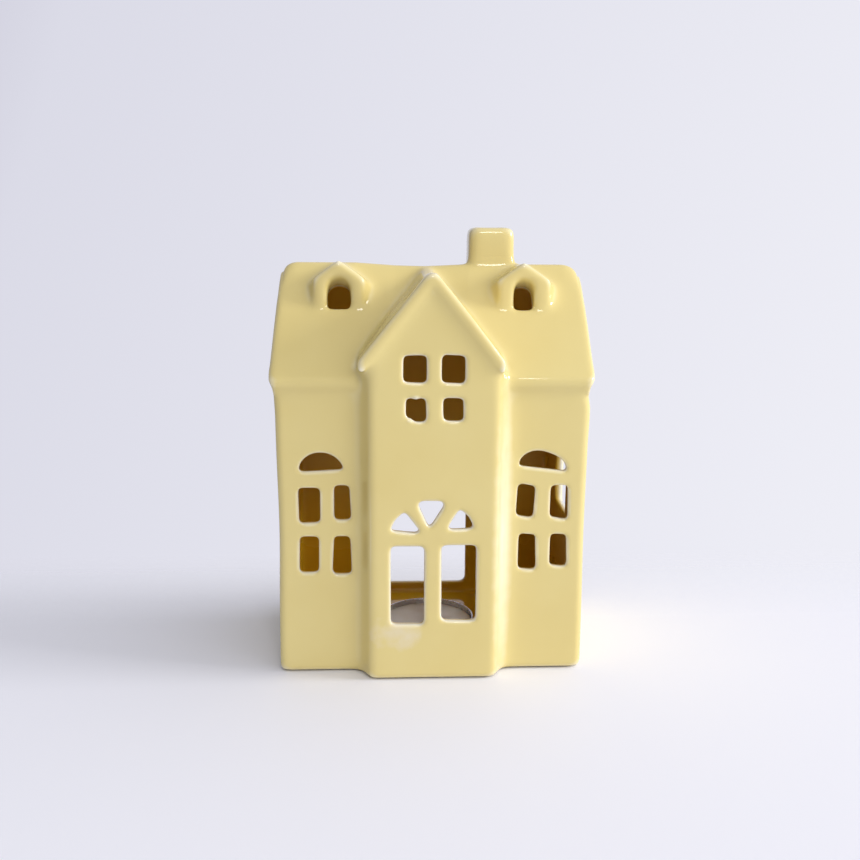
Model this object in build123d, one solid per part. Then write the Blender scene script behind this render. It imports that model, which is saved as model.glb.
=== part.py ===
from build123d import *
from math import cos, radians, sin, tan
import os

os.makedirs("parts", exist_ok=True)

# House walls and floor, mm
body_width = 120.4
body_depth = 77.2
wall_height = 115.4
wall = 3.6
floor_thickness = 5.0
corner_radius = 3.0
foot_radius = 0.8
inner_radius = 2.0

# Main roof
ridge_height = 159.6
eave_overhang = 2.4
eave_nose = 2.4
verge_overhang = 1.7
verge_lean = 1.3
roof_slab = 4.0
roof_thickness = 4.2
ridge_radius = 3.0
nose_radius = 1.2
under_nose_radius = 0.6
under_end_drop = 1.4
cove_height = 4.0
verge_radius = 1.8
roof_lap = 2.0

# Front bay and its gable
bay_depth = 8.6
bay_front_width = 48.4
bay_back_width = 57.2
bay_edge_radius = 3.0
bay_joint_radius = 5.0
gable_apex_height = 160.3
gable_eave_height = 125.4
gable_span = 54.8
gable_x = -1.2
gable_nose = 4.2
rim_width = 4.2
rim_proud = 1.5
rim_radius = 0.9
rim_round_share = 0.45
kneeler_radius = 1.2
apex_radius = 3.2

# Dormers: little gabled boxes, their ridges falling back into the main roof
dormer_offset = 36.2
dormer_setback = 20.5
dormer_width = 20.0
dormer_face_height = 19.0
dormer_eave_drop = 7.0
dormer_fall_deg = 6.0
dormer_splay = 6.0
dormer_ridge_radius = 1.6
dormer_eave_radius = 1.4
dormer_edge_radius = 1.0
dormer_hole_rise = 0.5
dormer_hole_height = 12.0
dormer_hole_slope_deg = 22.0
dormer_hole_run = 30.0
left_dormer_hole_width = 9.2
right_dormer_hole_width = 7.6

# Chimney
chimney_x = 25.1
chimney_width = 18.6
chimney_depth = 17.0
chimney_lead = 1.8
chimney_rise = 13.6
chimney_radius = 2.8
chimney_top_radius = 2.5
flue_wall = 4.6
flue_radius = 1.4

# Windows, cut by hand: boxes in mm, corners as shares of their box
wing_window_width = 20.6
wing_window_height = 48.2
wing_window_sill = 40.7
left_window_shift = 2.6
right_window_shift = -1.7
gable_window_x = -0.35
gable_window_width = 22.8
gable_window_height = 25.8
gable_window_sill = 101.8
door_x = 0.1
door_width = 33.0
door_height = 50.0
door_sill = 22.0
pane_radius = 1.2
fan_radius = 0.8
cut_margin = 3.0

left_pane_shares = [
    [(0.0, 0.715), (0.417, 0.714), (0.408, 0.425), (0.0, 0.421)],
    [(0.684, 0.733), (0.966, 0.732), (0.995, 0.446), (0.68, 0.447)],
    [(0.01, 0.309), (0.381, 0.309), (0.371, 0.008), (0.0, 0.004)],
    [(0.675, 0.31), (0.976, 0.309), (1.0, -0.01), (0.636, -0.01)],
]
right_pane_shares = [
    [(0.033, 0.745), (0.365, 0.716), (0.336, 0.452), (0.0, 0.475)],
    [(0.658, 0.724), (0.985, 0.726), (1.01, 0.433), (0.655, 0.46)],
    [(0.068, 0.323), (0.385, 0.313), (0.414, 0.01), (0.063, 0.024)],
    [(0.68, 0.32), (0.99, 0.311), (1.015, 0.036), (0.672, 0.05)],
]
left_moon_shares = [(0.024, 0.845), (0.1, 0.94), (0.3, 0.995), (0.51, 1.0), (0.72, 0.96), (0.864, 0.863)]
right_moon_shares = [(0.03, 0.888), (0.16, 0.985), (0.383, 1.012), (0.62, 0.99), (0.84, 0.94), (0.955, 0.841)]
gable_pane_shares = [
    [(0.004, 0.99), (0.375, 0.998), (0.378, 0.598), (0.0, 0.612)],
    [(0.628, 1.004), (1.0, 0.992), (1.006, 0.592), (0.627, 0.604)],
    [(0.046, 0.38), (0.366, 0.374), (0.375, 0.028), (0.046, 0.038)],
    [(0.652, 0.382), (0.976, 0.374), (0.987, 0.04), (0.662, 0.046)],
]
door_pane_shares = [
    [(0.003, 0.64), (0.388, 0.638), (0.388, 0.01), (0.003, 0.014)],
    [(0.593, 0.648), (0.994, 0.648), (0.996, 0.036), (0.597, 0.042)],
]
fan_shares = [
    [(-0.01, 0.768), (0.062, 0.856), (0.158, 0.918), (0.356, 0.745)],
    [(0.316, 0.972), (0.348, 1.0), (0.59, 0.998), (0.615, 0.964), (0.447, 0.785)],
    [(0.643, 0.772), (0.797, 0.937), (0.903, 0.87), (0.967, 0.784)],
]

# Openings at the back and in the gable ends
rear_x = -1.0
rear_width = 40.6
rear_sill = 9.5
rear_straight = 36.0
rear_corner_radius = 2.6
side_width = 24.0
side_sill = 56.0
side_straight = 17.0
side_corner_radius = 2.4

# Tealight
tealight_diameter = 38.0
tealight_height = 12.0
tealight_setback = 15.8
cup_taper = 0.5
cup_sheet = 0.3
cup_bead = 0.45
wax_level = 10.2
wax_gap = 0.25
wax_edge_radius = 0.5
clip_diameter = 12.0
clip_sheet = 0.3
clip_neck_diameter = 2.7
clip_neck_height = 3.2
clip_gap = 0.15
wick_diameter = 1.6
wick_gap = 0.1
wick_stand_out = 6.0

# Derived positions: X to the right, Y to the back, origin under the middle of the whole object
body_half = body_width / 2
front_y = (bay_depth + rim_proud - body_depth - eave_overhang) / 2
back_y = front_y + body_depth
ridge_y = front_y + body_depth / 2
bay_y = front_y - bay_depth
eave_z = wall_height + eave_nose
cove_z = wall_height - cove_height
half_run = body_depth / 2 + eave_overhang
pitch_rise = (ridge_height - eave_z) / half_run
pitch_cos = 1 / (1 + pitch_rise ** 2) ** 0.5
slab_drop = roof_slab / pitch_cos
shell_drop = roof_thickness / pitch_cos
gable_half = gable_span / 2
gable_left = gable_x - gable_half
gable_right = gable_x + gable_half
gable_rise = (gable_apex_height - gable_eave_height) / gable_half
gable_cos = 1 / (1 + gable_rise ** 2) ** 0.5
rim_drop = rim_width / gable_cos
gable_shell_drop = wall / gable_cos
lift_up = (Align.CENTER, Align.CENTER, Align.MIN)


def outline(points):
    # the same corners, always counter-clockwise
    turn = sum(a[0] * b[1] - b[0] * a[1] for a, b in zip(points, points[1:] + points[:1]))
    return Polygon(*(points if turn > 0 else points[::-1]), align=None)


def rounded(points, rounds):
    face = outline(points)
    for corner, radius in rounds:
        vertex = face.vertices().sort_by_distance(Vector(*corner))[0]
        face = fillet(vertex, radius)
    return face


def front_plane(y):
    return Plane((0, y, 0), x_dir=(1, 0, 0), z_dir=(0, -1, 0))


def side_prism(points, width, rounds=()):
    # a profile in Y and Z, run along X about the middle
    return extrude(Plane.YZ * rounded(points, rounds), width / 2, both=True)


def front_prism(points, y_front, length, rounds=()):
    # a profile in X and Z, run backwards from y_front
    return extrude(front_plane(y_front) * rounded(points, rounds), -length)


def main_roof_z(y, drop):
    return ridge_height - abs(y - ridge_y) * pitch_rise - drop


def gable_z(x, drop):
    return gable_apex_height - abs(x - gable_x) * gable_rise - drop


# Walls: one plan with the canted bay, its corners rounded, cut off under the roof and under the gable
bay_half = bay_front_width / 2
bay_root = bay_back_width / 2
bay_lean = (bay_root - bay_half) / bay_depth
bay_reach = bay_root + bay_joint_radius
plan = rounded(
    [
        (-body_half, front_y),
        (-bay_root, front_y),
        (-bay_half, bay_y),
        (bay_half, bay_y),
        (bay_root, front_y),
        (body_half, front_y),
        (body_half, back_y),
        (-body_half, back_y),
    ],
    [
        ((-body_half, front_y), corner_radius),
        ((body_half, front_y), corner_radius),
        ((-body_half, back_y), corner_radius),
        ((body_half, back_y), corner_radius),
        ((-bay_root, front_y), bay_joint_radius),
        ((bay_root, front_y), bay_joint_radius),
        ((-bay_half, bay_y), bay_edge_radius),
        ((bay_half, bay_y), bay_edge_radius),
    ],
)
block = extrude(plan, gable_apex_height)
block = fillet(block.edges().group_by(Axis.Z)[0], foot_radius)
wall_top = main_roof_z(front_y, slab_drop / 2)
under_roof = side_prism(
    [
        (front_y, 0),
        (back_y, 0),
        (back_y, wall_top),
        (ridge_y, main_roof_z(ridge_y, slab_drop / 2)),
        (front_y, wall_top),
    ],
    body_width + cut_margin * 2,
)
under_gable = front_prism(
    [
        (-bay_reach, 0),
        (bay_reach, 0),
        (bay_reach, gable_z(bay_reach, rim_drop / 2)),
        (gable_x, gable_z(gable_x, rim_drop / 2)),
        (-bay_reach, gable_z(-bay_reach, rim_drop / 2)),
    ],
    bay_y - cut_margin,
    ridge_y - bay_y + cut_margin,
)
walls = block & (under_roof + under_gable)

# Main roof: an eave nose with a cove under it, and ends that lean in towards the ridge
front_nose = ridge_y - half_run
back_nose = ridge_y + half_run
slab_foot = body_depth / 2 - wall / 2
slab_foot_z = main_roof_z(ridge_y + slab_foot, slab_drop)
roof_half = body_half + verge_overhang
roof = side_prism(
    [
        (front_nose, wall_height),
        (front_nose, eave_z),
        (ridge_y, ridge_height),
        (back_nose, eave_z),
        (back_nose, wall_height),
        (back_y, cove_z),
        (ridge_y + slab_foot, cove_z),
        (ridge_y + slab_foot, slab_foot_z),
        (ridge_y, main_roof_z(ridge_y, slab_drop)),
        (ridge_y - slab_foot, slab_foot_z),
        (ridge_y - slab_foot, cove_z),
        (front_y, cove_z),
    ],
    roof_half * 2 + cut_margin * 2,
    [
        ((ridge_y, ridge_height), ridge_radius),
        ((front_nose, eave_z), nose_radius),
        ((back_nose, eave_z), nose_radius),
        ((front_nose, wall_height), under_nose_radius),
        ((back_nose, wall_height), under_nose_radius),
    ],
)
end_reach = half_run * 2 + cut_margin * 2
roof = roof & front_prism(
    [
        (-roof_half, cove_z - cut_margin),
        (roof_half, cove_z - cut_margin),
        (roof_half - verge_lean, ridge_height + cut_margin),
        (verge_lean - roof_half, ridge_height + cut_margin),
    ],
    front_nose - cut_margin,
    end_reach,
)
ends = roof.faces().sort_by(Axis.X)
verge_edges = [
    e
    for end in (ends[0], ends[-1])
    for e in end.edges()
    if e.center().Z > max(main_roof_z(e.center().Y, slab_drop / 2), wall_height + under_nose_radius / 4)
]
roof = fillet(verge_edges, verge_radius)
under_end_z = wall_height - under_end_drop
under_end_rise = (eave_nose + under_end_drop) / verge_overhang
roof_reach = roof_half + cut_margin
reach_z = under_end_z + (roof_reach - body_half) * under_end_rise
roof = roof & front_prism(
    [
        (-body_half, cove_z),
        (body_half, cove_z),
        (body_half, under_end_z),
        (roof_reach, reach_z),
        (roof_reach, ridge_height),
        (-roof_reach, ridge_height),
        (-roof_reach, reach_z),
        (-body_half, under_end_z),
    ],
    front_nose - cut_margin,
    end_reach,
)

# Gable roof over the bay, standing proud of its face as a rim
gable_under = gable_eave_height - gable_nose
gable_foot = (gable_z(gable_x, rim_drop) - gable_under) / gable_rise
kneeler_width = gable_half - gable_foot
kneeler_under_radius = min(kneeler_radius, kneeler_width / 2)
gable = front_prism(
    [
        (gable_left, gable_under),
        (gable_left, gable_eave_height),
        (gable_x, gable_apex_height),
        (gable_right, gable_eave_height),
        (gable_right, gable_under),
        (gable_x + gable_foot, gable_under),
        (gable_x, gable_z(gable_x, rim_drop)),
        (gable_x - gable_foot, gable_under),
    ],
    bay_y - rim_proud,
    ridge_y - bay_y + rim_proud,
    [
        ((gable_x, gable_apex_height), apex_radius),
        ((gable_left, gable_eave_height), kneeler_radius),
        ((gable_right, gable_eave_height), kneeler_radius),
        ((gable_left, gable_under), kneeler_under_radius),
        ((gable_right, gable_under), kneeler_under_radius),
    ],
)
gable_rim_radius = min(rim_radius, kneeler_width * rim_round_share)
gable = fillet(gable.faces().sort_by(Axis.Y)[0].edges(), gable_rim_radius)

# Dormers
dormer_y = front_y + dormer_setback
dormer_foot = main_roof_z(dormer_y, 0)
dormer_base = main_roof_z(dormer_y, shell_drop)
dormer_apex = dormer_foot + dormer_face_height
dormer_run = ridge_y - dormer_y
dormer_drop = dormer_run * tan(radians(dormer_fall_deg))
dormer_pitch = dormer_eave_drop / (dormer_width / 2)


def dormer_face(x, y, half, apex):
    eave = apex - dormer_pitch * half
    foot = [(x - half, dormer_base), (x + half, dormer_base)]
    top = [(x + half, eave), (x, apex), (x - half, eave)]
    return front_plane(y) * outline(foot + top)


def long_edges(solid, count):
    # the highest edges that run backwards
    runs = [e for e in solid.edges() if e.bounding_box().size.Y > dormer_run / 2]
    return sorted(runs, key=lambda e: e.center().Z)[-count:]


def make_dormer(x):
    half = dormer_width / 2
    front = dormer_face(x, dormer_y, half, dormer_apex)
    back = dormer_face(x, ridge_y, half + dormer_splay, dormer_apex - dormer_drop)
    dormer = loft([front, back], ruled=True)
    dormer = fillet(long_edges(dormer, 3)[:2], dormer_eave_radius)
    dormer = fillet(long_edges(dormer, 1), dormer_ridge_radius)
    front_edges = dormer.faces().sort_by(Axis.Y)[0].edges()
    rim = [e for e in front_edges if e.center().Z > dormer_foot - shell_drop / 2]
    return fillet(rim, dormer_edge_radius)


left_dormer = make_dormer(-dormer_offset)
right_dormer = make_dormer(dormer_offset)

# Chimney
chimney_y = ridge_y - chimney_lead + chimney_depth / 2
chimney_top = ridge_height + chimney_rise
chimney_base = main_roof_z(chimney_y + chimney_depth / 2, shell_drop)
chimney = Pos(chimney_x, chimney_y, chimney_base) * Box(
    chimney_width, chimney_depth, chimney_top - chimney_base, align=lift_up
)
chimney = fillet(chimney.edges().filter_by(Axis.Z), chimney_radius)
chimney = fillet(chimney.edges().group_by(Axis.Z)[-1], chimney_top_radius)

outer = walls + roof + gable + left_dormer + right_dormer + chimney

# Hollow inside
inner_front = front_y + wall
inner_back = back_y - wall
inner_eave = main_roof_z(inner_front, shell_drop)
room = side_prism(
    [
        (inner_front, floor_thickness),
        (inner_back, floor_thickness),
        (inner_back, inner_eave),
        (ridge_y, main_roof_z(ridge_y, shell_drop)),
        (inner_front, inner_eave),
    ],
    body_width - wall * 2,
)
room = fillet(room.edges().filter_by(Axis.Z), inner_radius)
room = fillet(room.edges().group_by(Axis.Z)[0], inner_radius)

bay_wall_shift = wall * (1 + bay_lean ** 2) ** 0.5
bay_inner_front = bay_half + wall * bay_lean - bay_wall_shift
bay_inner_root = bay_inner_front + (bay_depth + roof_lap) * bay_lean
nook_front = bay_y + wall
nook_root = nook_front + bay_depth + roof_lap
nook_plan = outline(
    [
        (-bay_inner_front, nook_front),
        (bay_inner_front, nook_front),
        (bay_inner_root, nook_root),
        (bay_inner_root, ridge_y),
        (-bay_inner_root, ridge_y),
        (-bay_inner_root, nook_root),
    ]
)
nook = Pos(0, 0, floor_thickness) * extrude(nook_plan, gable_apex_height - floor_thickness)
nook = nook & front_prism(
    [
        (-bay_inner_root, floor_thickness),
        (bay_inner_root, floor_thickness),
        (bay_inner_root, gable_z(bay_inner_root, gable_shell_drop)),
        (gable_x, gable_z(gable_x, gable_shell_drop)),
        (-bay_inner_root, gable_z(-bay_inner_root, gable_shell_drop)),
    ],
    nook_front,
    ridge_y - nook_front,
)

shell = outer - room - nook


# Windows
def share_points(shares, center_x, width, sill, height):
    left = center_x - width / 2
    return [(left + u * width, sill + v * height) for u, v in shares]


def pane_face(points, radius):
    return fillet(outline(points).vertices(), radius)


def moon_face(points, radius):
    face = make_face([Spline(*points), Line(points[-1], points[0])])
    return fillet(face.vertices(), radius)


def arch_face(center_x, sill, width, straight):
    half = width / 2
    left = center_x - half
    right = center_x + half
    spring = sill + straight
    return make_face(
        [
            Line((left, sill), (right, sill)),
            Line((right, sill), (right, spring)),
            ThreePointArc((right, spring), (center_x, spring + half), (left, spring)),
            Line((left, spring), (left, sill)),
        ]
    )


def wall_cut(face, wall_y):
    # through one wall whose outer face is at wall_y
    return extrude(front_plane(wall_y - cut_margin) * face, -wall - cut_margin * 2)


wing_middle = (bay_root + body_half) / 2
left_window = (left_window_shift - wing_middle, wing_window_width, wing_window_sill, wing_window_height)
right_window = (right_window_shift + wing_middle, wing_window_width, wing_window_sill, wing_window_height)
gable_window = (gable_window_x, gable_window_width, gable_window_sill, gable_window_height)
door = (door_x, door_width, door_sill, door_height)
pane_sets = [
    (left_pane_shares, left_window, front_y, pane_radius),
    (right_pane_shares, right_window, front_y, pane_radius),
    (gable_pane_shares, gable_window, bay_y, pane_radius),
    (door_pane_shares, door, bay_y, pane_radius),
    (fan_shares, door, bay_y, fan_radius),
]
cutters = []
for pane_set, window, wall_y, radius in pane_sets:
    for shares in pane_set:
        cutters.append(wall_cut(pane_face(share_points(shares, *window), radius), wall_y))
for shares, window in ((left_moon_shares, left_window), (right_moon_shares, right_window)):
    cutters.append(wall_cut(moon_face(share_points(shares, *window), fan_radius), front_y))

# Dormer holes run down into the roof space
hole_slope = radians(dormer_hole_slope_deg)
hole_dir = (0, cos(hole_slope), -sin(hole_slope))
hole_sill = dormer_foot + dormer_hole_rise
dormer_holes = ((-dormer_offset, left_dormer_hole_width), (dormer_offset, right_dormer_hole_width))
for hole_x, hole_width in dormer_holes:
    hole = arch_face(hole_x, hole_sill, hole_width, dormer_hole_height - hole_width / 2)
    cutters.append(extrude(front_plane(dormer_y) * hole, dormer_hole_run, dir=hole_dir))

# Rear opening, gable-end windows and flue
rear_face = arch_face(rear_x, rear_sill, rear_width, rear_straight)
rear_face = fillet(rear_face.vertices().group_by(Axis.Y)[0], rear_corner_radius)
cutters.append(wall_cut(rear_face, inner_back))

side_face = arch_face(ridge_y, side_sill, side_width, side_straight)
side_face = fillet(side_face.vertices().group_by(Axis.Y)[0], side_corner_radius)
cutters.append(extrude(Plane.YZ * side_face, body_half + cut_margin, both=True))

flue_width = chimney_width - flue_wall * 2
flue_depth = chimney_depth - flue_wall * 2
flue = Pos(chimney_x, chimney_y, chimney_base) * Box(
    flue_width, flue_depth, chimney_top - chimney_base + cut_margin, align=lift_up
)
cutters.append(fillet(flue.edges().filter_by(Axis.Z), flue_radius))

for cutter in cutters:
    shell = shell - cutter

house_shell = shell.solids().sort_by(SortBy.VOLUME)[-1]

# Tealight: sheet cup, wax, wick clip and wick
cup_r = tealight_diameter / 2 - cup_bead + cup_sheet / 2
cup_foot_r = cup_r - cup_taper
seat = Pos(rear_x, front_y + tealight_setback, floor_thickness)
cup_profile = Polygon(
    (0, 0),
    (cup_foot_r, 0),
    (cup_r, tealight_height - cup_bead),
    (cup_r - cup_sheet, tealight_height - cup_bead),
    (cup_foot_r - cup_sheet, cup_sheet),
    (0, cup_sheet),
    align=None,
)
cup = revolve(Plane.XZ * cup_profile, Axis.Z)
bead = Pos(0, 0, tealight_height - cup_bead) * Torus(cup_r - cup_sheet / 2, cup_bead)
cup = cup + bead

wax_foot_r = cup_foot_r - cup_sheet - wax_gap
wax_top_r = wax_foot_r + cup_taper * (wax_level - cup_sheet) / (tealight_height - cup_bead - cup_sheet)
wax_profile = Polygon(
    (0, cup_sheet),
    (wax_foot_r, cup_sheet),
    (wax_top_r, wax_level),
    (0, wax_level),
    align=None,
)
wax = revolve(Plane.XZ * wax_profile, Axis.Z)
wax = fillet(wax.edges().group_by(Axis.Z)[-1], wax_edge_radius)
clip_r = clip_diameter / 2
neck_r = clip_neck_diameter / 2
wick_r = wick_diameter / 2
clip_z = cup_sheet + clip_sheet
neck_z = clip_z + clip_neck_height
wax_base = Pos(0, 0, cup_sheet)
wax = wax - wax_base * Cylinder(clip_r + clip_gap, clip_sheet + clip_gap, align=lift_up)
wax = wax - wax_base * Cylinder(neck_r + clip_gap, neck_z - cup_sheet + clip_gap, align=lift_up)
wax = wax - wax_base * Cylinder(wick_r + wick_gap, wax_level, align=lift_up)

clip = Pos(0, 0, cup_sheet) * Cylinder(clip_r, clip_sheet, align=lift_up)
clip = clip + Pos(0, 0, clip_z) * Cylinder(neck_r, clip_neck_height, align=lift_up)
clip = clip - Pos(0, 0, clip_z) * Cylinder(wick_r + wick_gap, clip_neck_height + clip_gap, align=lift_up)

wick = Pos(0, 0, clip_z) * Cylinder(wick_r, wax_level - clip_z + wick_stand_out, align=lift_up)
wick = fillet(wick.edges().group_by(Axis.Z)[-1], wick_r / 2)

pieces = {
    "house_shell": house_shell,
    "tealight_cup": seat * cup,
    "tealight_wax": seat * wax,
    "wick_clip": seat * clip,
    "candle_wick": seat * wick,
}
for name, piece in pieces.items():
    export_step(piece, "parts/" + name + ".step")
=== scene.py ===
import bpy
import bmesh
import math
import numpy as np
from mathutils import Matrix, Vector, kdtree


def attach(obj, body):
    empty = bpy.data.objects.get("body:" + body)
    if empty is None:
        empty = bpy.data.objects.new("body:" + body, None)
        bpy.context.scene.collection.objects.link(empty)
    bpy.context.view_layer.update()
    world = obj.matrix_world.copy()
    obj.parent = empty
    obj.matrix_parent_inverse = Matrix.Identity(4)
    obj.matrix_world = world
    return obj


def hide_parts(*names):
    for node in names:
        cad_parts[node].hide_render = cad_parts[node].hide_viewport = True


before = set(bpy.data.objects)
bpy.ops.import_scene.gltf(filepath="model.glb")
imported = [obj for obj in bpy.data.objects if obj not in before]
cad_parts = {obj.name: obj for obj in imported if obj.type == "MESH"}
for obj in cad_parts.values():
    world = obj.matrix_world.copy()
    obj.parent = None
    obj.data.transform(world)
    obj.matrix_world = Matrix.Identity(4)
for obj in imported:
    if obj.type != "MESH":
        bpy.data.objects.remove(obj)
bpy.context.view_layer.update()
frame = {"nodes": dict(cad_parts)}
scene = bpy.context.scene
scene.view_settings.view_transform = "Standard"
print("frame loaded:", ", ".join(frame["nodes"]))

# Camera: a little above the roof, slightly left of the door
camLook = {
    "place": (-0.0217, -0.42335, 0.1806),
    "yawDeg": 3.0,
    "pitchDeg": 12.0,
    "rollDeg": 0.45,
    "lens": 43.78,
}


def aimCamera(look):
    cam = bpy.data.objects.new("photoCamera", bpy.data.cameras.new("photoCamera"))
    scene.collection.objects.link(cam)
    cam.data.sensor_fit = "HORIZONTAL"
    cam.data.sensor_width = 36.0
    cam.data.lens = look["lens"]
    cam.data.clip_start = 0.01
    turn = Matrix.Rotation(math.radians(-look["yawDeg"]), 4, "Z")
    tip = Matrix.Rotation(math.radians(90.0 - look["pitchDeg"]), 4, "X")
    roll = Matrix.Rotation(math.radians(look["rollDeg"]), 4, "Z")
    cam.matrix_world = Matrix.Translation(look["place"]) @ turn @ tip @ roll
    scene.camera = cam


aimCamera(camLook)
print("camera set")


def addNode(tree, kind, **settings):
    node = tree.nodes.new(kind)
    for key, value in settings.items():
        setattr(node, key, value)
    return node


def fill(node, **values):
    # socket values by socket name, underscores for the blanks
    for key, value in values.items():
        node.inputs[key.replace("_", " ")].default_value = value
    return node


def newMaterial(name):
    mat = bpy.data.materials.new(name)
    mat.use_nodes = True
    tree = mat.node_tree
    return mat, tree, tree.nodes["Principled BSDF"]


# Stage: a pale sweep without a horizon, soft window light from the right
stageLook = {
    "floorZ": -0.0005,
    "floorColour": (0.87, 0.875, 0.965, 1.0),
    "floorFade": (0.34, 0.66),
    "floorBehind": (0.02, 0.11),
    "sweepLean": (1.0, 0.0, -0.35),
    "sweepRange": (-0.45, 1.0),
    "sweepStops": (
        (0.0, (0.60, 0.595, 0.69, 1.0)),
        (0.092, (0.71, 0.71, 0.80, 1.0)),
        (0.70, (0.865, 0.865, 0.93, 1.0)),
        (1.0, (0.98, 0.98, 0.99, 1.0)),
    ),
    "roomLean": (0.68, -0.63, 0.37),
    "roomLow": 0.03,
    "roomHigh": 1.5,
    "backLean": (0.2, 0.95, 0.12),
    "backFill": 0.5,
    "aim": (0.0, 0.0, 0.07),
    "lamps": {
        "windowKey": ((2.25, -0.34, 0.94), 0.72, 33.5, (1.0, 0.985, 0.96)),
        "frontSoft": ((0.15, -1.5, 1.45), 0.42, 5.5, (1.0, 1.0, 1.0)),
    },
}


def studioLamp(name, aim, place, size, power, colour):
    lamp = bpy.data.lights.new(name, "AREA")
    lamp.shape = "SQUARE"
    lamp.size = size
    lamp.energy = power
    lamp.color = colour
    obj = bpy.data.objects.new(name, lamp)
    scene.collection.objects.link(obj)
    obj.visible_camera = False
    obj.location = place
    obj.rotation_euler = (Vector(aim) - Vector(place)).to_track_quat("-Z", "Y").to_euler()


def paleRoom(look):
    world = bpy.data.worlds.new("paleRoom")
    scene.world = world
    world.use_nodes = True
    tree = world.node_tree
    tree.nodes.clear()
    link = tree.links.new
    coord = addNode(tree, "ShaderNodeTexCoord")

    across = addNode(tree, "ShaderNodeVectorMath", operation="DOT_PRODUCT")
    across.inputs[1].default_value = look["sweepLean"]
    link(coord.outputs["Generated"], across.inputs[0])
    start, end = look["sweepRange"]
    acrossRange = fill(addNode(tree, "ShaderNodeMapRange"), From_Min=start, From_Max=end)
    link(across.outputs["Value"], acrossRange.inputs["Value"])
    sweep = addNode(tree, "ShaderNodeValToRGB")
    stops = sweep.color_ramp.elements
    while len(stops) < len(look["sweepStops"]):
        stops.new(0.5)
    for stop, (place, colour) in zip(stops, look["sweepStops"]):
        stop.position = place
        stop.color = colour
    link(acrossRange.outputs["Result"], sweep.inputs["Fac"])
    seen = addNode(tree, "ShaderNodeBackground")
    link(sweep.outputs["Color"], seen.inputs["Color"])

    lean = addNode(tree, "ShaderNodeVectorMath", operation="DOT_PRODUCT")
    lean.inputs[1].default_value = look["roomLean"]
    link(coord.outputs["Generated"], lean.inputs[0])
    side = fill(addNode(tree, "ShaderNodeMapRange"), From_Min=-1.0)
    link(lean.outputs["Value"], side.inputs["Value"])
    bright = addNode(tree, "ShaderNodeMath", operation="POWER")
    bright.inputs[1].default_value = 3.0
    link(side.outputs["Result"], bright.inputs[0])
    room = fill(addNode(tree, "ShaderNodeMapRange"), To_Min=look["roomLow"], To_Max=look["roomHigh"])
    link(bright.outputs[0], room.inputs["Value"])
    rear = addNode(tree, "ShaderNodeVectorMath", operation="DOT_PRODUCT")
    rear.inputs[1].default_value = look["backLean"]
    link(coord.outputs["Generated"], rear.inputs[0])
    back = fill(addNode(tree, "ShaderNodeMapRange"), To_Max=look["backFill"])
    link(rear.outputs["Value"], back.inputs["Value"])
    both = addNode(tree, "ShaderNodeMath", operation="ADD")
    link(room.outputs["Result"], both.inputs[0])
    link(back.outputs["Result"], both.inputs[1])
    light = fill(addNode(tree, "ShaderNodeBackground"), Color=(0.98, 0.98, 1.0, 1.0))
    link(both.outputs[0], light.inputs["Strength"])

    path = addNode(tree, "ShaderNodeLightPath")
    either = addNode(tree, "ShaderNodeMath", operation="ADD", use_clamp=True)
    link(path.outputs["Is Camera Ray"], either.inputs[0])
    link(path.outputs["Is Glossy Ray"], either.inputs[1])
    anySeen = addNode(tree, "ShaderNodeMath", operation="ADD", use_clamp=True)
    link(either.outputs[0], anySeen.inputs[0])
    link(path.outputs["Is Transmission Ray"], anySeen.inputs[1])
    mix = addNode(tree, "ShaderNodeMixShader")
    link(anySeen.outputs[0], mix.inputs["Fac"])
    link(light.outputs[0], mix.inputs[1])
    link(seen.outputs[0], mix.inputs[2])
    link(mix.outputs[0], addNode(tree, "ShaderNodeOutputWorld").inputs["Surface"])


def paperFloor(look):
    bpy.ops.mesh.primitive_plane_add(size=4.0, location=(0.0, 0.0, look["floorZ"]))
    floor = bpy.context.object
    floor.name = "floorSheet"
    mat, tree, shader = newMaterial("floorPaper")
    link = tree.links.new
    fill(shader, Base_Color=look["floorColour"], Roughness=0.6, Specular_IOR_Level=0.15)
    coord = addNode(tree, "ShaderNodeTexCoord")
    away = addNode(tree, "ShaderNodeVectorMath", operation="LENGTH")
    link(coord.outputs["Object"], away.inputs[0])
    axes = addNode(tree, "ShaderNodeSeparateXYZ")
    link(coord.outputs["Object"], axes.inputs[0])
    fades = []
    reaches = (
        (away.outputs["Value"], look["floorFade"]),
        (axes.outputs["Y"], look["floorBehind"]),
    )
    for value, (start, end) in reaches:
        fade = fill(addNode(tree, "ShaderNodeMapRange"), From_Min=start, From_Max=end)
        link(value, fade.inputs["Value"])
        fades.append(fade.outputs["Result"])
    most = addNode(tree, "ShaderNodeMath", operation="MAXIMUM")
    link(fades[0], most.inputs[0])
    link(fades[1], most.inputs[1])
    mix = addNode(tree, "ShaderNodeMixShader")
    link(most.outputs[0], mix.inputs["Fac"])
    link(shader.outputs[0], mix.inputs[1])
    link(addNode(tree, "ShaderNodeBsdfTransparent").outputs[0], mix.inputs[2])
    link(mix.outputs[0], tree.nodes["Material Output"].inputs["Surface"])
    floor.data.materials.append(mat)


paleRoom(stageLook)
paperFloor(stageLook)
for lampName, lampLook in stageLook["lamps"].items():
    studioLamp(lampName, stageLook["aim"], *lampLook)
print("stage and lamps set")


def settle(obj):
    bpy.context.view_layer.update()
    graph = bpy.context.evaluated_depsgraph_get()
    mesh = bpy.data.meshes.new_from_object(obj.evaluated_get(graph))
    mesh.name = obj.name
    old = obj.data
    obj.modifiers.clear()
    obj.data = mesh
    bpy.data.meshes.remove(old)
    return obj


def smoothFaces(mesh):
    mesh.polygons.foreach_set("use_smooth", np.ones(len(mesh.polygons), dtype=bool))


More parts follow.
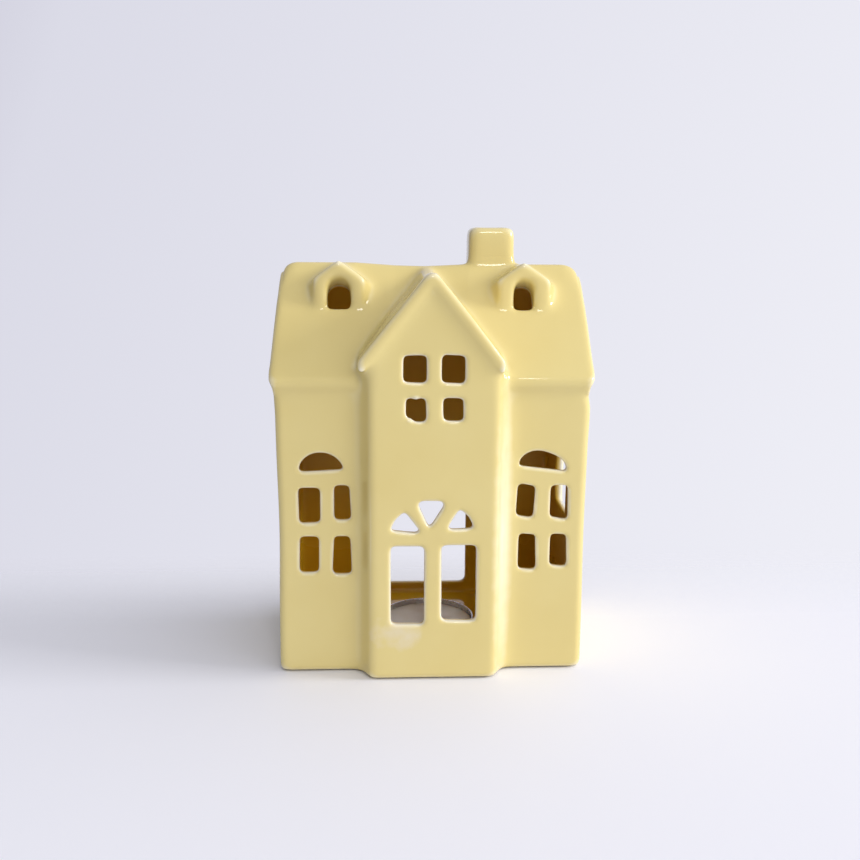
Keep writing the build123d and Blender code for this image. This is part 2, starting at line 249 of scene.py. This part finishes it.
def addPiece(name, mesh):
    obj = bpy.data.objects.new(name, mesh)
    scene.collection.objects.link(obj)
    return obj


# House shell: the fired, glazed casting. Lengths of the casting in mm, as in the part's source
shellLook = {
    "voxel": 0.00055,
    "evenSteps": 4,
    "fillSteps": 80,
    "fillRenew": 20,
    "softenSteps": 6,
    "cornerSteps": 30,
    "wornTop": (161.0, 2.0),
    "wornFoot": (4.0, 6.0),
    "roofSteps": 12,
    "roofFrom": (112.0, 4.0),
    "gablePanes": ((-15.0, -50.0, 97.0), (15.0, -36.0, 131.0)),
    "stepAmount": 0.5,
    "triangles": 190000,
    "ridgeSag": (
        (-70.0, 0.8), (-30.0, 0.8), (-14.0, -0.3), (-2.0, -0.6), (8.0, -0.1), (16.0, 0.3), (70.0, 0.3),
    ),
    "sagFrom": (128.0, 26.0),
    "ridgeEndRadius": (5.6, 7.0),
    "ridgeEndReach": 14.0,
    "vergeAt": (92.0, 98.0, 102.5, 106.0, 110.0, 114.0, 120.0, 135.0, 146.0, 158.0),
    "vergeLeft": (0.0, 0.0, 0.0, -0.1, -0.3, -0.4, -0.5, 0.0, 0.5, 0.9),
    "vergeRight": (0.0, 0.2, 0.3, 0.3, -0.4, -0.6, -0.1, 0.2, 0.3, 0.5),
    "wallDraw": (0.7, 0.4),
    "wallDrawAt": (58.0, 26.0),
    "halfWidth": 60.2,
    "frontY": -34.75,
    "backY": 42.45,
    "ridgeY": 3.85,
    "ridgeZ": 159.6,
    "roofRise": 1.02,
    "gableX": -1.2,
    "gableZ": 160.3,
    "bayY": -43.35,
    "bayHalfFront": 24.2,
    "bayHalfBack": 28.6,
    "gableRise": 1.274,
    "wall": 3.6,
    "glazeDrops": (
        ((-9.5, -42.2, 103.1), (1.5, 1.6, 1.1)),
        ((-7.1, -42.2, 111.6), (0.9, 1.5, 0.9)),
    ),
    "glaze": (0.74, 0.612, 0.255, 1.0),
    "deepGlaze": (0.66, 0.51, 0.165, 1.0),
    "hollowSheen": (0.88, 0.82, 0.58, 1.0),
    "thinGlazeAndHighlight": (0.93, 0.89, 0.74, 1.0),
    "patches": (
        # place, half size, raggedness, share, colour
        ((-0.0135, -0.0434, 0.0190), (0.0085, 0.004, 0.0062), 0.4, 0.7, (0.78, 0.69, 0.53, 1.0)),
        # a pale strip down the bay's right side: painted highlight where the light falls on that face
        ((0.0268, -0.0388, 0.055), (0.0045, 0.007, 0.06), 0.1, 0.75, (0.90, 0.86, 0.68, 1.0)),
    ),
    "bendBlur": 12,
    "rimSpread": 5,
    "rimBoxes": (
        ((-54.0, -50.0, 15.0), (54.0, -26.0, 96.0)),
        ((-15.0, -50.0, 97.0), (15.0, -36.0, 132.0)),
        ((-48.0, -32.0, 126.0), (48.0, 2.0, 152.0)),
        ((-64.0, -14.0, 48.0), (64.0, 22.0, 94.0)),
        ((-27.0, 34.0, 4.0), (27.0, 46.0, 72.0)),
    ),
    "gableDip": 3.0,
    "innerShadeTint": (0.72, 0.43, 0.02, 1.0),
    "gloss": (0.045, 0.11),
}


def meshArrays(mesh):
    count = len(mesh.vertices)
    place = np.empty(count * 3)
    mesh.vertices.foreach_get("co", place)
    normal = np.empty(count * 3)
    mesh.vertices.foreach_get("normal", normal)
    pairs = np.empty(len(mesh.edges) * 2, np.int64)
    mesh.edges.foreach_get("vertices", pairs)
    return place.reshape(-1, 3), normal.reshape(-1, 3), pairs.reshape(-1, 2)


def castBody(look):
    # a fine even skin over the CAD solid, with the drops of glaze that hang in one gable pane
    mesh = frame["nodes"]["house_shell"].data.copy()
    mesh.materials.clear()
    solid = bmesh.new()
    solid.from_mesh(mesh)
    for centre, radii in look["glazeDrops"]:
        place = Matrix.LocRotScale(Vector(centre) / 1000.0, None, Vector(radii) / 1000.0)
        bmesh.ops.create_icosphere(solid, subdivisions=3, radius=1.0, matrix=place)
    solid.to_mesh(mesh)
    solid.free()
    shell = addPiece("houseShell", mesh)
    shell.modifiers.new("weld", "WELD").merge_threshold = 0.00001
    remesh = shell.modifiers.new("cast", "REMESH")
    remesh.mode = "VOXEL"
    remesh.voxel_size = look["voxel"]
    return settle(shell)


def inBoxes(place, boxes):
    mm = place * 1000.0
    return np.any([np.all((mm > low) & (mm < high), axis=1) for low, high in boxes], axis=0)


def softenGlaze(mesh, look):
    # glaze pools in the hollow corners of the outside, then every edge rounds off
    place, normal, pairs = meshArrays(mesh)
    count = len(place)
    a, b = pairs.T
    degree = np.maximum(np.bincount(a, minlength=count) + np.bincount(b, minlength=count), 1)[:, None]

    def pull():
        near = [np.bincount(a, place[b, k], count) + np.bincount(b, place[a, k], count) for k in range(3)]
        return (np.stack(near, axis=1) / degree - place) * look["stepAmount"]

    for _ in range(look["evenSteps"]):
        place += pull()
    outside = np.clip((0.9 - innerDepth(place, look)) / 0.6, 0.0, 1.0)
    for step in range(look["fillSteps"]):
        if step % look["fillRenew"] == 0:
            mesh.vertices.foreach_set("co", place.ravel())
            mesh.update()
            normal = meshArrays(mesh)[1]
        lift = np.einsum("ij,ij->i", pull(), normal)
        place += normal * (np.maximum(lift, 0.0) * outside)[:, None]
    for _ in range(look["softenSteps"]):
        place += pull()
    height = place[:, 2:] * 1000.0
    (top, topReach), (foot, footReach) = look["wornTop"], look["wornFoot"]
    worn = np.clip(np.maximum((height - top) / topReach, (foot - height) / footReach), 0.0, 1.0)
    for _ in range(look["cornerSteps"]):
        place += pull() * worn
    start, reach = look["roofFrom"]
    roof = np.clip((height - start) / reach, 0.0, 1.0) * ~inBoxes(place, [look["gablePanes"]])[:, None]
    for _ in range(look["roofSteps"]):
        place += pull() * roof
    # where the skin turns in at a cut pane, the glaze runs thin, and the pane rims are painted paler, partly
    # as a painted highlight
    depth = innerDepth(place, look)
    rim = np.clip((depth - 0.35) / 0.5, 0.0, 1.0) * np.clip((2.0 - depth) / 0.8, 0.0, 1.0)
    rim *= inBoxes(place, look["rimBoxes"])
    for _ in range(look["rimSpread"]):
        near = np.bincount(a, rim[b], count) + np.bincount(b, rim[a], count)
        rim = np.maximum(rim, 0.5 * rim + 0.5 * near / degree[:, 0])
    # how far inside the skin a point lies: drives the painted inner shade and a duller gloss in there
    inner = np.clip((depth - 1.2) / (look["wall"] - 1.6), 0.0, 1.0)
    handMade(place, look)
    mesh.vertices.foreach_set("co", place.ravel())
    mesh.update()
    return rim, inner


def handMade(place, look):
    # the cast sags a little along the ridge, its ridge ends are rubbed round, the walls draw in
    x, y, z = (place * 1000.0).T
    start, reach = look["sagFrom"]
    high = np.clip((z - start) / reach, 0.0, 1.0)
    atX, sag = zip(*look["ridgeSag"])
    drop = np.interp(x, atX, sag) * np.where(z < look["ridgeZ"] + 1.5, high, 0.0)
    endX = np.abs(x[(z > look["ridgeZ"] - 2.0) & (z < look["ridgeZ"])]).max()
    radius = np.where(x < 0.0, *look["ridgeEndRadius"])
    into = np.clip((np.abs(x) - endX + radius) / radius, 0.0, 1.0)
    endReach = look["ridgeEndReach"]
    nearTop = np.clip((z - look["ridgeZ"] + endReach) / endReach, 0.0, 1.0)
    drop -= radius * (1.0 - np.sqrt(1.0 - into ** 2)) * nearTop ** 2 * 0.8
    along = np.clip((y - look["bayY"] - 3.0) / (look["ridgeY"] - look["bayY"] - 3.0), 0.0, 1.0)
    fromGable = np.abs(x - look["gableX"])
    ridge = np.clip(1.0 - fromGable / 16.0, 0.0, 1.0) * np.clip((z - 138.0) / 12.0, 0.0, 1.0)
    drop -= look["gableDip"] * np.sin(math.pi * along) * ridge
    middle, reach = look["wallDrawAt"]
    hump = np.exp(-((z - middle) / reach) ** 2) * np.clip((np.abs(x) - 40.0) / 18.0, 0.0, 1.0)
    left, right = look["wallDraw"]
    place[:, 2] += drop / 1000.0
    place[:, 0] += np.where(x < 0.0, left, -right) * hump / 1000.0
    verge = [np.interp(z, look["vergeAt"], look[side]) for side in ("vergeLeft", "vergeRight")]
    place[:, 0] += np.where(x < 0.0, *verge) * np.clip((np.abs(x) - 36.0) / 14.0, 0.0, 1.0) / 1000.0


def bendTone(mesh, blurSteps):
    # how sharply the skin turns outwards (+) or inwards (-) at each point, per metre
    place, normal, pairs = meshArrays(mesh)
    count = len(place)
    a, b = pairs.T
    step = place[b] - place[a]
    length = np.linalg.norm(step, axis=1) + 1e-9
    turn = np.einsum("ij,ij->i", normal[b] - normal[a], step) / length ** 2
    degree = np.maximum(np.bincount(a, minlength=count) + np.bincount(b, minlength=count), 1)
    tone = (np.bincount(a, turn, count) + np.bincount(b, turn, count)) / degree
    for _ in range(blurSteps):
        near = np.bincount(a, tone[b], count) + np.bincount(b, tone[a], count)
        tone = 0.5 * tone + 0.5 * near / degree
    return tone


def innerDepth(place, look):
    # how far a point lies under the outer skin, in mm
    x, y, z = (place * 1000.0).T
    fromGable = np.abs(x - look["gableX"])
    x = np.abs(x)
    share = np.clip((y - look["bayY"]) / (look["frontY"] - look["bayY"]), 0.0, 1.0)
    bayHalf = look["bayHalfFront"] + share * (look["bayHalfBack"] - look["bayHalfFront"])
    front = np.maximum(y - look["frontY"], np.minimum(y - look["bayY"], bayHalf - x))
    roofLean = math.hypot(1.0, look["roofRise"])
    roof = (look["ridgeZ"] - look["roofRise"] * np.abs(y - look["ridgeY"]) - z) / roofLean
    gable = (look["gableZ"] - look["gableRise"] * fromGable - z) / math.hypot(1.0, look["gableRise"])
    gable = np.where(y < look["ridgeY"], gable, -1.0)
    return np.minimum.reduce([look["halfWidth"] - x, look["backY"] - y, z, front, np.maximum(roof, gable)])


def thinOut(shell, look, marks):
    # fewer triangles, each point taking its marks from the nearest point of the full skin
    place, _, _ = meshArrays(shell.data)
    tree = kdtree.KDTree(len(place))
    for index, point in enumerate(place):
        tree.insert(point, index)
    tree.balance()
    thin = shell.modifiers.new("thin", "DECIMATE")
    thin.ratio = min(1.0, look["triangles"] / (len(shell.data.polygons) * 2.0))
    settle(shell)
    place, _, _ = meshArrays(shell.data)
    nearest = np.array([tree.find(point)[1] for point in place])
    for name, values in marks.items():
        layer = shell.data.attributes.new(name, "FLOAT", "POINT")
        layer.data.foreach_set("value", values[nearest].astype(np.float32))
    smoothFaces(shell.data)


def mixColour(tree, factor, first, second):
    node = addNode(tree, "ShaderNodeMix", data_type="RGBA")
    tree.links.new(factor, node.inputs["Factor"])
    for socket, value in (("A", first), ("B", second)):
        if isinstance(value, tuple):
            node.inputs[socket].default_value = value
        else:
            tree.links.new(value, node.inputs[socket])
    return node.outputs["Result"]


def mapTo(tree, value, low, high, toLow, toHigh):
    node = fill(addNode(tree, "ShaderNodeMapRange"), From_Min=low, From_Max=high, To_Min=toLow, To_Max=toHigh)
    tree.links.new(value, node.inputs["Value"])
    return node.outputs["Result"]


def noise(tree, vector, scale, detail):
    node = fill(addNode(tree, "ShaderNodeTexNoise"), Scale=scale, Detail=detail)
    tree.links.new(vector, node.inputs["Vector"])
    return node.outputs["Fac"]


def yellowGlaze(look):
    mat, tree, shader = newMaterial("yellowGlaze")
    link = tree.links.new
    place = addNode(tree, "ShaderNodeTexCoord").outputs["Object"]
    bend = addNode(tree, "ShaderNodeAttribute", attribute_name="glazeBend").outputs["Fac"]
    inner = addNode(tree, "ShaderNodeAttribute", attribute_name="insideShare").outputs["Fac"]
    rim = addNode(tree, "ShaderNodeAttribute", attribute_name="rimThinGlazeAndHighlight").outputs["Fac"]

    cloud = mapTo(tree, noise(tree, place, 24.0, 3.0), 0.35, 0.7, 0.0, 0.3)
    colour = mixColour(tree, cloud, look["glaze"], look["deepGlaze"])
    # hollow corners painted paler and milkier: a painted sheen where light catches in them
    colour = mixColour(tree, mapTo(tree, bend, -60.0, -220.0, 0.0, 0.35), colour, look["hollowSheen"])
    # outward edges painted paler: glaze running thin there, and partly a painted highlight along the edges
    colour = mixColour(tree, mapTo(tree, bend, 160.0, 520.0, 0.0, 0.7), colour, look["thinGlazeAndHighlight"])
    # pane rims painted paler: thin glaze, and partly a painted highlight
    colour = mixColour(tree, mapTo(tree, rim, 0.1, 0.8, 0.0, 0.9), colour, look["thinGlazeAndHighlight"])
    # pale marks: a blotch under the left door pane, and a painted highlight down the bay's right side
    for spot, size, rough, share, tint in look["patches"]:
        patch = fill(addNode(tree, "ShaderNodeMapping", vector_type="TEXTURE"), Location=spot, Scale=size)
        link(place, patch.inputs["Vector"])
        off = addNode(tree, "ShaderNodeVectorMath", operation="LENGTH")
        link(patch.outputs["Vector"], off.inputs[0])
        ragged = addNode(tree, "ShaderNodeMath", operation="ADD")
        link(off.outputs["Value"], ragged.inputs[0])
        link(mapTo(tree, noise(tree, place, 170.0, 3.0), 0.3, 0.7, -rough, rough), ragged.inputs[1])
        colour = mixColour(tree, mapTo(tree, ragged.outputs[0], 1.2, 0.1, 0.0, share), colour, tint)
    # the inside is painted a deep amber: painted shade, standing in for the shadow and the yellow light
    # bounced round the inside
    colour = mixColour(tree, inner, colour, look["innerShadeTint"])
    link(colour, shader.inputs["Base Color"])

    low, high = look["gloss"]
    gloss = mapTo(tree, noise(tree, place, 90.0, 2.0), 0.3, 0.7, low, high)
    height = addNode(tree, "ShaderNodeSeparateXYZ")
    link(place, height.inputs[0])
    upInside = addNode(tree, "ShaderNodeMath", operation="MULTIPLY")
    link(mapTo(tree, height.outputs["Z"], 0.015, 0.035, 0.0, 0.3), upInside.inputs[0])
    link(inner, upInside.inputs[1])
    duller = addNode(tree, "ShaderNodeMath", operation="ADD")
    link(gloss, duller.inputs[0])
    link(upInside.outputs[0], duller.inputs[1])
    link(duller.outputs[0], shader.inputs["Roughness"])
    bump = fill(addNode(tree, "ShaderNodeBump"), Strength=0.07, Distance=0.002)
    link(noise(tree, place, 55.0, 2.0), bump.inputs["Height"])
    link(bump.outputs["Normal"], shader.inputs["Normal"])
    fill(shader, IOR=1.52)
    return mat


shell = castBody(shellLook)
rim, inner = softenGlaze(shell.data, shellLook)
tone = bendTone(shell.data, shellLook["bendBlur"])
print("house skin:", len(shell.data.polygons), "faces")
thinOut(shell, shellLook, {"glazeBend": tone, "insideShare": inner, "rimThinGlazeAndHighlight": rim})
shell.data.materials.append(yellowGlaze(shellLook))
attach(shell, "house")
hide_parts("house_shell")
print("house shell:", len(shell.data.polygons), "faces")


def growTree(name, inputs):
    tree = bpy.data.node_groups.new(name, "GeometryNodeTree")
    tree.interface.new_socket("Geometry", in_out="INPUT", socket_type="NodeSocketGeometry")
    tree.interface.new_socket("Geometry", in_out="OUTPUT", socket_type="NodeSocketGeometry")
    for label, kind in inputs:
        tree.interface.new_socket(label, in_out="INPUT", socket_type="NodeSocket" + kind)
    return tree, addNode(tree, "NodeGroupInput"), addNode(tree, "NodeGroupOutput")


def runTree(obj, tree, values):
    grow = obj.modifiers.new(tree.name, "NODES")
    grow.node_group = tree
    for item in tree.interface.items_tree:
        if item.in_out == "INPUT" and item.name in values:
            grow[item.identifier] = values[item.name]
    return settle(obj)


def ringOf(tree, count, centre, what):
    # copies of one shape, turned evenly round a centre
    link = tree.links.new
    points = addNode(tree, "GeometryNodePoints")
    link(count, points.inputs["Count"])
    link(centre, points.inputs["Position"])
    part = addNode(tree, "ShaderNodeMath", operation="DIVIDE")
    link(addNode(tree, "GeometryNodeInputIndex").outputs[0], part.inputs[0])
    link(count, part.inputs[1])
    angle = addNode(tree, "ShaderNodeMath", operation="MULTIPLY")
    angle.inputs[1].default_value = 2.0 * math.pi
    link(part.outputs[0], angle.inputs[0])
    spin = addNode(tree, "ShaderNodeCombineXYZ")
    link(angle.outputs[0], spin.inputs["Z"])
    turn = addNode(tree, "FunctionNodeEulerToRotation")
    link(spin.outputs[0], turn.inputs[0])
    ring = addNode(tree, "GeometryNodeInstanceOnPoints")
    link(points.outputs[0], ring.inputs["Points"])
    link(what, ring.inputs["Instance"])
    link(turn.outputs[0], ring.inputs["Rotation"])
    real = addNode(tree, "GeometryNodeRealizeInstances")
    link(ring.outputs["Instances"], real.inputs["Geometry"])
    return real.outputs["Geometry"]


def endTree(tree, shape, material, out):
    finish = addNode(tree, "GeometryNodeSetMaterial")
    tree.links.new(shape, finish.inputs["Geometry"])
    tree.links.new(material, finish.inputs["Material"])
    tree.links.new(finish.outputs["Geometry"], out.inputs["Geometry"])


def gridMesh(name, points):
    # points[row][column], faces outward when rows climb and columns turn anticlockwise
    rows, columns = points.shape[:2]
    corner = np.arange(rows * columns).reshape(rows, columns)
    faces = np.stack([corner[:-1, :-1], corner[:-1, 1:], corner[1:, 1:], corner[1:, :-1]], axis=-1)
    mesh = bpy.data.meshes.new(name)
    mesh.from_pydata(points.reshape(-1, 3).tolist(), [], faces.reshape(-1, 4).tolist())
    smoothFaces(mesh)
    return mesh


def dressTealight(piece, node):
    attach(piece, "tealight")
    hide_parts(node)
    print(piece.name + ":", len(piece.data.polygons), "faces")


# Tealight cup: thin pressed foil with a rolled rim, its wall pleated by the press. Radii and heights in mm
cupLook = {
    "centre": (-0.001, -0.01895, 0.005),
    "pleats": 52,
    "pleatDepth": 0.14,
    "profile": (
        (0.0, 0.10, 0), (14.4, 0.10, 0), (14.9, 0.0, 0), (17.5, 0.0, 0), (17.95, 0.12, 0.2), (18.22, 0.6, 1),
        (18.36, 3.6, 1), (18.50, 7.2, 1), (18.60, 9.8, 1), (18.64, 10.7, 0.4), (18.72, 11.02, 0),
        (18.93, 11.25, 0),
        (19.0, 11.55, 0), (18.93, 11.8, 0), (18.72, 11.96, 0), (18.5, 12.0, 0), (18.27, 11.9, 0),
        (18.14, 11.62, 0),
        (18.2, 11.3, 0), (18.33, 11.0, 0), (18.34, 10.6, 0.4), (18.30, 9.8, 1), (18.20, 7.2, 1),
        (18.06, 3.6, 1),
        (17.92, 0.8, 1), (17.7, 0.42, 0.2), (17.3, 0.3, 0), (0.0, 0.3, 0),
    ),
    "foil": (0.80, 0.80, 0.815, 1.0),
}


def cupFoil(look):
    mat, tree, shader = newMaterial("cupFoil")
    place = addNode(tree, "ShaderNodeTexCoord").outputs["Object"]
    dull = mixColour(tree, noise(tree, place, 160.0, 3.0), look["foil"], (0.62, 0.62, 0.64, 1.0))
    tree.links.new(dull, shader.inputs["Base Color"])
    rough = mapTo(tree, noise(tree, place, 420.0, 2.0), 0.3, 0.7, 0.2, 0.38)
    tree.links.new(rough, shader.inputs["Roughness"])
    bump = fill(addNode(tree, "ShaderNodeBump"), Strength=0.12, Distance=0.0002)
    tree.links.new(noise(tree, place, 420.0, 2.0), bump.inputs["Height"])
    tree.links.new(bump.outputs["Normal"], shader.inputs["Normal"])
    fill(shader, Metallic=1.0)
    return mat


def pleatPanel(look):
    # one pleat of the foil, outside and inside, seen from the cup's axis
    profile = np.array(look["profile"])
    turn = np.linspace(-math.pi, math.pi, 7) / look["pleats"]
    fold = 0.5 - 0.5 * np.cos(turn * look["pleats"])
    radius = profile[:, :1] - look["pleatDepth"] * profile[:, 2:] * fold
    height = np.repeat(profile[:, 1:2], len(turn), axis=1)
    points = np.stack([radius * np.cos(turn), radius * np.sin(turn), height], axis=-1)
    return gridMesh("tealightCup", points / 1000.0)


def pleatTree():
    tree, given, out = growTree("cupPleats", (("Pleats", "Int"), ("Centre", "Vector"), ("Foil", "Material")))
    ring = ringOf(tree, given.outputs["Pleats"], given.outputs["Centre"], given.outputs["Geometry"])
    seam = fill(addNode(tree, "GeometryNodeMergeByDistance"), Distance=0.000004)
    tree.links.new(ring, seam.inputs["Geometry"])
    endTree(tree, seam.outputs["Geometry"], given.outputs["Foil"], out)
    return tree


cup = addPiece("tealightCup", pleatPanel(cupLook))
runTree(cup, pleatTree(), {
    "Pleats": cupLook["pleats"],
    "Centre": cupLook["centre"],
    "Foil": cupFoil(cupLook),
})
dressTealight(cup, "tealight_cup")

# Wax: poured paraffin, a little sunk towards the wick, drawn up where it wets the wick
waxLook = {
    "profile": (
        (0.0, 0.32), (9.0, 0.32), (16.8, 0.32), (17.4, 0.36), (17.62, 0.7), (17.72, 2.8),
        (17.82, 5.0), (17.92, 7.4),
        (17.98, 9.2), (17.98, 9.62), (17.86, 9.9), (17.6, 10.05), (17.1, 10.12), (16.0, 10.08), (13.5, 10.0),
        (10.5, 9.93), (7.5, 9.88), (4.8, 9.86), (2.9, 9.9), (1.8, 10.02), (1.2, 10.2),
        (0.86, 10.42), (0.0, 10.44),
    ),
    "sides": 120,
    "unevenness": 0.05,
    "paraffin": (0.88, 0.86, 0.80, 1.0),
    "thickTone": (0.80, 0.765, 0.67, 1.0),
}


def paraffin(look):
    mat, tree, shader = newMaterial("paraffin")
    place = addNode(tree, "ShaderNodeTexCoord").outputs["Object"]
    cloud = mapTo(tree, noise(tree, place, 130.0, 4.0), 0.35, 0.7, 0.0, 0.7)
    tree.links.new(mixColour(tree, cloud, look["paraffin"], look["thickTone"]), shader.inputs["Base Color"])
    rough = mapTo(tree, noise(tree, place, 260.0, 3.0), 0.3, 0.7, 0.28, 0.5)
    tree.links.new(rough, shader.inputs["Roughness"])
    bump = fill(addNode(tree, "ShaderNodeBump"), Strength=0.2, Distance=0.0008)
    tree.links.new(noise(tree, place, 190.0, 3.0), bump.inputs["Height"])
    tree.links.new(bump.outputs["Normal"], shader.inputs["Normal"])
    fill(shader, IOR=1.43, Subsurface_Weight=0.3, Subsurface_Scale=0.003)
    shader.inputs["Subsurface Radius"].default_value = (1.0, 0.75, 0.5)
    return mat


def pourWax(look):
    profile = np.array(look["profile"])
    turn = np.linspace(0.0, 2.0 * math.pi, look["sides"] + 1)
    radius = np.repeat(profile[:, :1], len(turn), axis=1)
    x, y = radius * np.cos(turn), radius * np.sin(turn)
    ripple = np.sin(x * 0.31 + 0.8) * np.sin(y * 0.27 - 0.4) + 0.5 * np.sin(x * 0.62 - y * 0.55)
    top = np.clip((profile[:, 1:2] - 9.0) / 0.8, 0.0, 1.0) * np.clip(radius / 3.0, 0.0, 1.0)
    z = profile[:, 1:2] + look["unevenness"] * ripple * top
    wax = addPiece("tealightWax", gridMesh("tealightWax", np.stack([x, y, z], axis=-1) / 1000.0))
    wax.data.transform(Matrix.Translation(cupLook["centre"]))
    wax.modifiers.new("seam", "WELD").merge_threshold = 0.000004
    return settle(wax)


wax = pourWax(waxLook)
wax.data.materials.append(paraffin(waxLook))
dressTealight(wax, "tealight_wax")

# Wick: three waxed cotton strands laid round each other
wickLook = {
    "strands": 3,
    "turns": 7.0,
    "layRadius": 0.00042,
    "strandRadius": 0.00036,
    "foot": 0.0006,
    "height": 0.01555,
    "cotton": (0.84, 0.81, 0.73, 1.0),
    "waxedCotton": (0.70, 0.655, 0.55, 1.0),
}


def waxedCotton(look):
    mat, tree, shader = newMaterial("waxedCotton")
    place = addNode(tree, "ShaderNodeTexCoord").outputs["Object"]
    stretch = fill(addNode(tree, "ShaderNodeMapping"), Scale=(1.0, 1.0, 0.25))
    tree.links.new(place, stretch.inputs["Vector"])
    fibre = noise(tree, stretch.outputs["Vector"], 5200.0, 3.0)
    tree.links.new(mixColour(tree, fibre, look["cotton"], look["waxedCotton"]), shader.inputs["Base Color"])
    tree.links.new(mapTo(tree, fibre, 0.3, 0.7, 0.55, 0.85), shader.inputs["Roughness"])
    bump = fill(addNode(tree, "ShaderNodeBump"), Strength=0.4, Distance=0.0002)
    tree.links.new(fibre, bump.inputs["Height"])
    tree.links.new(bump.outputs["Normal"], shader.inputs["Normal"])
    fill(shader, Sheen_Weight=0.2)
    return mat


def strandTree():
    sizes = ("Turns", "Lay Radius", "Strand Radius", "Height")
    inputs = [(label, "Float") for label in sizes]
    inputs += [("Strands", "Int"), ("Foot", "Vector"), ("Cotton", "Material")]
    tree, given, out = growTree("wickStrands", inputs)
    link = tree.links.new
    spiral = fill(addNode(tree, "GeometryNodeCurveSpiral"), Resolution=18)
    link(given.outputs["Turns"], spiral.inputs["Rotations"])
    link(given.outputs["Lay Radius"], spiral.inputs["Start Radius"])
    link(given.outputs["Lay Radius"], spiral.inputs["End Radius"])
    link(given.outputs["Height"], spiral.inputs["Height"])
    laid = ringOf(tree, given.outputs["Strands"], given.outputs["Foot"], spiral.outputs["Curve"])
    ring = fill(addNode(tree, "GeometryNodeCurvePrimitiveCircle"), Resolution=10)
    link(given.outputs["Strand Radius"], ring.inputs["Radius"])
    tube = fill(addNode(tree, "GeometryNodeCurveToMesh"), Fill_Caps=True)
    link(laid, tube.inputs["Curve"])
    link(ring.outputs["Curve"], tube.inputs["Profile Curve"])
    endTree(tree, tube.outputs["Mesh"], given.outputs["Cotton"], out)
    return tree


wick = addPiece("candleWick", bpy.data.meshes.new("candleWick"))
wickFoot = Vector(cupLook["centre"]) + Vector((0.0, 0.0, wickLook["foot"]))
runTree(wick, strandTree(), {
    "Turns": wickLook["turns"],
    "Lay Radius": wickLook["layRadius"],
    "Strand Radius": wickLook["strandRadius"],
    "Height": wickLook["height"],
    "Strands": wickLook["strands"],
    "Foot": wickFoot,
    "Cotton": waxedCotton(wickLook),
})
smoothFaces(wick.data)
dressTealight(wick, "candle_wick")

# Wick clip: the stamped disc under the wax keeps its CAD shape
clipLook = {"steel": (0.60, 0.59, 0.57, 1.0), "tarnish": (0.42, 0.40, 0.37, 1.0)}


def clipSteel(look):
    mat, tree, shader = newMaterial("clipSteel")
    place = addNode(tree, "ShaderNodeTexCoord").outputs["Object"]
    spots = mapTo(tree, noise(tree, place, 380.0, 4.0), 0.45, 0.7, 0.0, 0.8)
    tree.links.new(mixColour(tree, spots, look["steel"], look["tarnish"]), shader.inputs["Base Color"])
    tree.links.new(mapTo(tree, spots, 0.0, 0.8, 0.25, 0.5), shader.inputs["Roughness"])
    fill(shader, Metallic=1.0)
    return mat


steel = clipSteel(clipLook)
for slot in frame["nodes"]["wick_clip"].material_slots:
    slot.material = steel
print("wick clip:", len(frame["nodes"]["wick_clip"].material_slots), "slots in steel")
